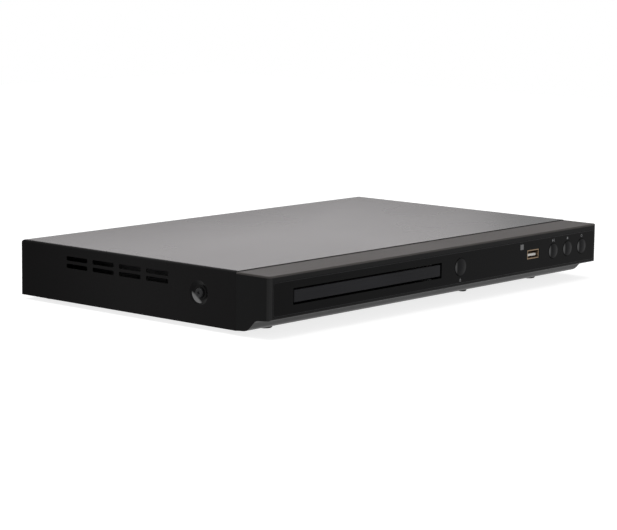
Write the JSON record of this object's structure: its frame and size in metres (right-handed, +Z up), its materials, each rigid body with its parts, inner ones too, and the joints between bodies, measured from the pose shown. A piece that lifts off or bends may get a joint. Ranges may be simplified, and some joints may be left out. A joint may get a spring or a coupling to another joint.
{
  "type": "disc player",
  "caption": "Slim tray-loading disc player: steel cover, moulded fascia with front keys and a stick socket, and a motor-driven tray with lift, clamp and pickup.",
  "frame": {"origin": "on the table, under the centre of the box round the player with its keys and rear jacks", "axes": "+X to the player's right seen from the front, +Y to the back, +Z up"},
  "size_m": [0.36, 0.2358, 0.0408],
  "materials": {
    "painted_steel": "satin black lacquer",
    "black_plastic": "fine satin",
    "gloss_black": "polished",
    "door_plastic": "hairline satin",
    "brushed_trim": "brushed, anodised dark",
    "bare_steel": "zinc plated",
    "screw_steel": "black zinc",
    "foot_rubber": "matt",
    "tray_plastic": "satin",
    "grey_plastic": "satin",
    "white_plastic": "acetal",
    "shaft_steel": "ground and polished",
    "brass_plate": "gold flash",
    "circuit_board": "green solder mask",
    "phenolic_board": "paper laminate",
    "chip_epoxy": "moulded epoxy",
    "heat_sink": "extruded",
    "coil": "taped winding",
    "lens_glass": "coated",
    "magnet": "sintered",
    "belt_rubber": "matt",
    "ribbon_film": "film"
  },
  "bodies": {
    "housing": {"board_chips": "chip_epoxy", "chassis_pan": "bare_steel", "clamper_bridge": "bare_steel", "cover_screws": "screw_steel", "decoder_heat_sink": "heat_sink", "fascia_frame": "black_plastic", "fascia_top_trim": "brushed_trim", "front_board": "circuit_board", "front_feet": "foot_rubber", "front_pad": "foot_rubber", "front_panel": "gloss_black", "hdmi_socket": "shaft_steel", "inlet_pins": "shaft_steel", "jack_barrels": "brass_plate", "jack_block": "black_plastic", "loader_frame": "grey_plastic", "loading_belt": "belt_rubber", "loading_motor": "bare_steel", "main_board": "circuit_board", "mains_inlet": "black_plastic", "panel_ribbon": "ribbon_film", "power_board": "phenolic_board", "power_capacitors": "chip_epoxy", "power_coils": "coil", "power_heat_sink": "heat_sink", "rear_feet": "foot_rubber", "rear_panel": "painted_steel", "remote_receiver": "chip_epoxy", "tact_switches": "chip_epoxy", "top_cover": "painted_steel", "usb_socket": "brass_plate", "usb_tongue": "white_plastic"},
    "tray": {"disc_tray": "tray_plastic", "tray_door": "door_plastic"},
    "drive_wheel": {"drive_gear": "white_plastic"},
    "belt_wheel": {"pulley_gear": "white_plastic"},
    "loading_rotor": {"motor_pulley": "white_plastic"},
    "lift_deck": {"lift_frame": "tray_plastic", "rubber_dampers": "foot_rubber", "traverse_plate": "bare_steel", "spindle_motor": "circuit_board", "guide_shafts": "shaft_steel", "sled_motor": "bare_steel"},
    "cam": {"cam_slider": "white_plastic"},
    "spindle": {"spindle_rotor": "bare_steel", "turntable": "tray_plastic"},
    "disc_clamp": {"clamper": "tray_plastic", "clamper_magnet": "magnet"},
    "pickup": {"pickup_body": "heat_sink"},
    "lens": {"objective_lens": "lens_glass"},
    "sled_wheel": {"sled_gear": "white_plastic"},
    "sled_rotor": {"sled_pinion": "brass_plate"},
    "open_key": {"open_button": "black_plastic", "open_plunger": "chip_epoxy"},
    "play_key": {"play_button": "black_plastic", "play_plunger": "chip_epoxy"},
    "stop_key": {"stop_button": "black_plastic", "stop_plunger": "chip_epoxy"},
    "power_key": {"power_button": "black_plastic", "power_plunger": "chip_epoxy"}
  },
  "joints": [
    {"name": "tray_slide", "type": "slide", "parent": "housing", "child": "tray", "axis": [0, -1, 0], "range_m": [0, 0.14]},
    {"name": "drive_wheel_spin", "type": "hinge", "parent": "housing", "child": "drive_wheel", "pos_m": [-0.1362, -0.0691, 0.0125], "axis": [0, 0, 1], "range_deg": [0, 1003.18]},
    {"name": "belt_wheel_spin", "type": "hinge", "parent": "housing", "child": "belt_wheel", "pos_m": [-0.1182, -0.0691, 0.0125], "axis": [0, 0, 1], "range_deg": [-2005.85, 0]},
    {"name": "loading_rotor_spin", "type": "hinge", "parent": "housing", "child": "loading_rotor", "pos_m": [-0.0742, -0.0691, 0.0165], "axis": [0, 0, 1], "range_deg": [-6666.18, 0]},
    {"name": "lift_tilt", "type": "hinge", "parent": "housing", "child": "lift_deck", "pos_m": [-0.0822, 0.0609, 0.0148], "axis": [1, 0, 0], "range_deg": [0, 4.5]},
    {"name": "cam_slide", "type": "slide", "parent": "housing", "child": "cam", "axis": [1, 0, 0], "range_m": [0, 0.0222]},
    {"name": "spindle_spin", "type": "hinge", "parent": "lift_deck", "child": "spindle", "pos_m": [-0.0822, -0.0231, 0.0282], "axis": [0, 0, 1], "continuous": true},
    {"name": "clamp_spin", "type": "hinge", "parent": "housing", "child": "disc_clamp", "pos_m": [-0.0822, -0.0231, 0.0298], "axis": [0, 0, 1], "continuous": true},
    {"name": "pickup_slide", "type": "slide", "parent": "lift_deck", "child": "pickup", "axis": [0, 1, 0], "range_m": [0, 0.035]},
    {"name": "lens_focus", "type": "slide", "parent": "pickup", "child": "lens", "axis": [0, 0, 1], "range_m": [-0.0004, 0.0004], "stiffness_N_per_m": 60},
    {"name": "sled_wheel_spin", "type": "hinge", "parent": "lift_deck", "child": "sled_wheel", "pos_m": [-0.04865, 0.0229, 0.0163], "axis": [0, 0, 1], "range_deg": [-418.28, 0]},
    {"name": "sled_rotor_spin", "type": "hinge", "parent": "lift_deck", "child": "sled_rotor", "pos_m": [-0.04865, 0.0373, 0.0163], "axis": [0, 0, 1], "range_deg": [0, 1253.85]},
    {"name": "open_press", "type": "slide", "parent": "housing", "child": "open_key", "axis": [0, 1, 0], "range_m": [0, 0.0005], "stiffness_N_per_m": 600, "springref_m": -0.0005},
    {"name": "play_press", "type": "slide", "parent": "housing", "child": "play_key", "axis": [0, 1, 0], "range_m": [0, 0.0005], "stiffness_N_per_m": 600, "springref_m": -0.0005},
    {"name": "stop_press", "type": "slide", "parent": "housing", "child": "stop_key", "axis": [0, 1, 0], "range_m": [0, 0.0005], "stiffness_N_per_m": 600, "springref_m": -0.0005},
    {"name": "power_press", "type": "slide", "parent": "housing", "child": "power_key", "axis": [0, 1, 0], "range_m": [0, 0.0005], "stiffness_N_per_m": 600, "springref_m": -0.0005}
  ],
  "couplings": [
    {"joint": "drive_wheel_spin", "follows": "tray_slide", "rad_per_m": 125},
    {"joint": "belt_wheel_spin", "follows": "tray_slide", "rad_per_m": -250},
    {"joint": "loading_rotor_spin", "follows": "tray_slide", "rad_per_m": -830.99},
    {"joint": "cam_slide", "follows": "lift_tilt", "m_per_rad": 0.28011},
    {"joint": "clamp_spin", "follows": "spindle_spin", "ratio": 1},
    {"joint": "sled_wheel_spin", "follows": "pickup_slide", "rad_per_m": -208.33},
    {"joint": "sled_rotor_spin", "follows": "pickup_slide", "rad_per_m": 625}
  ]
}
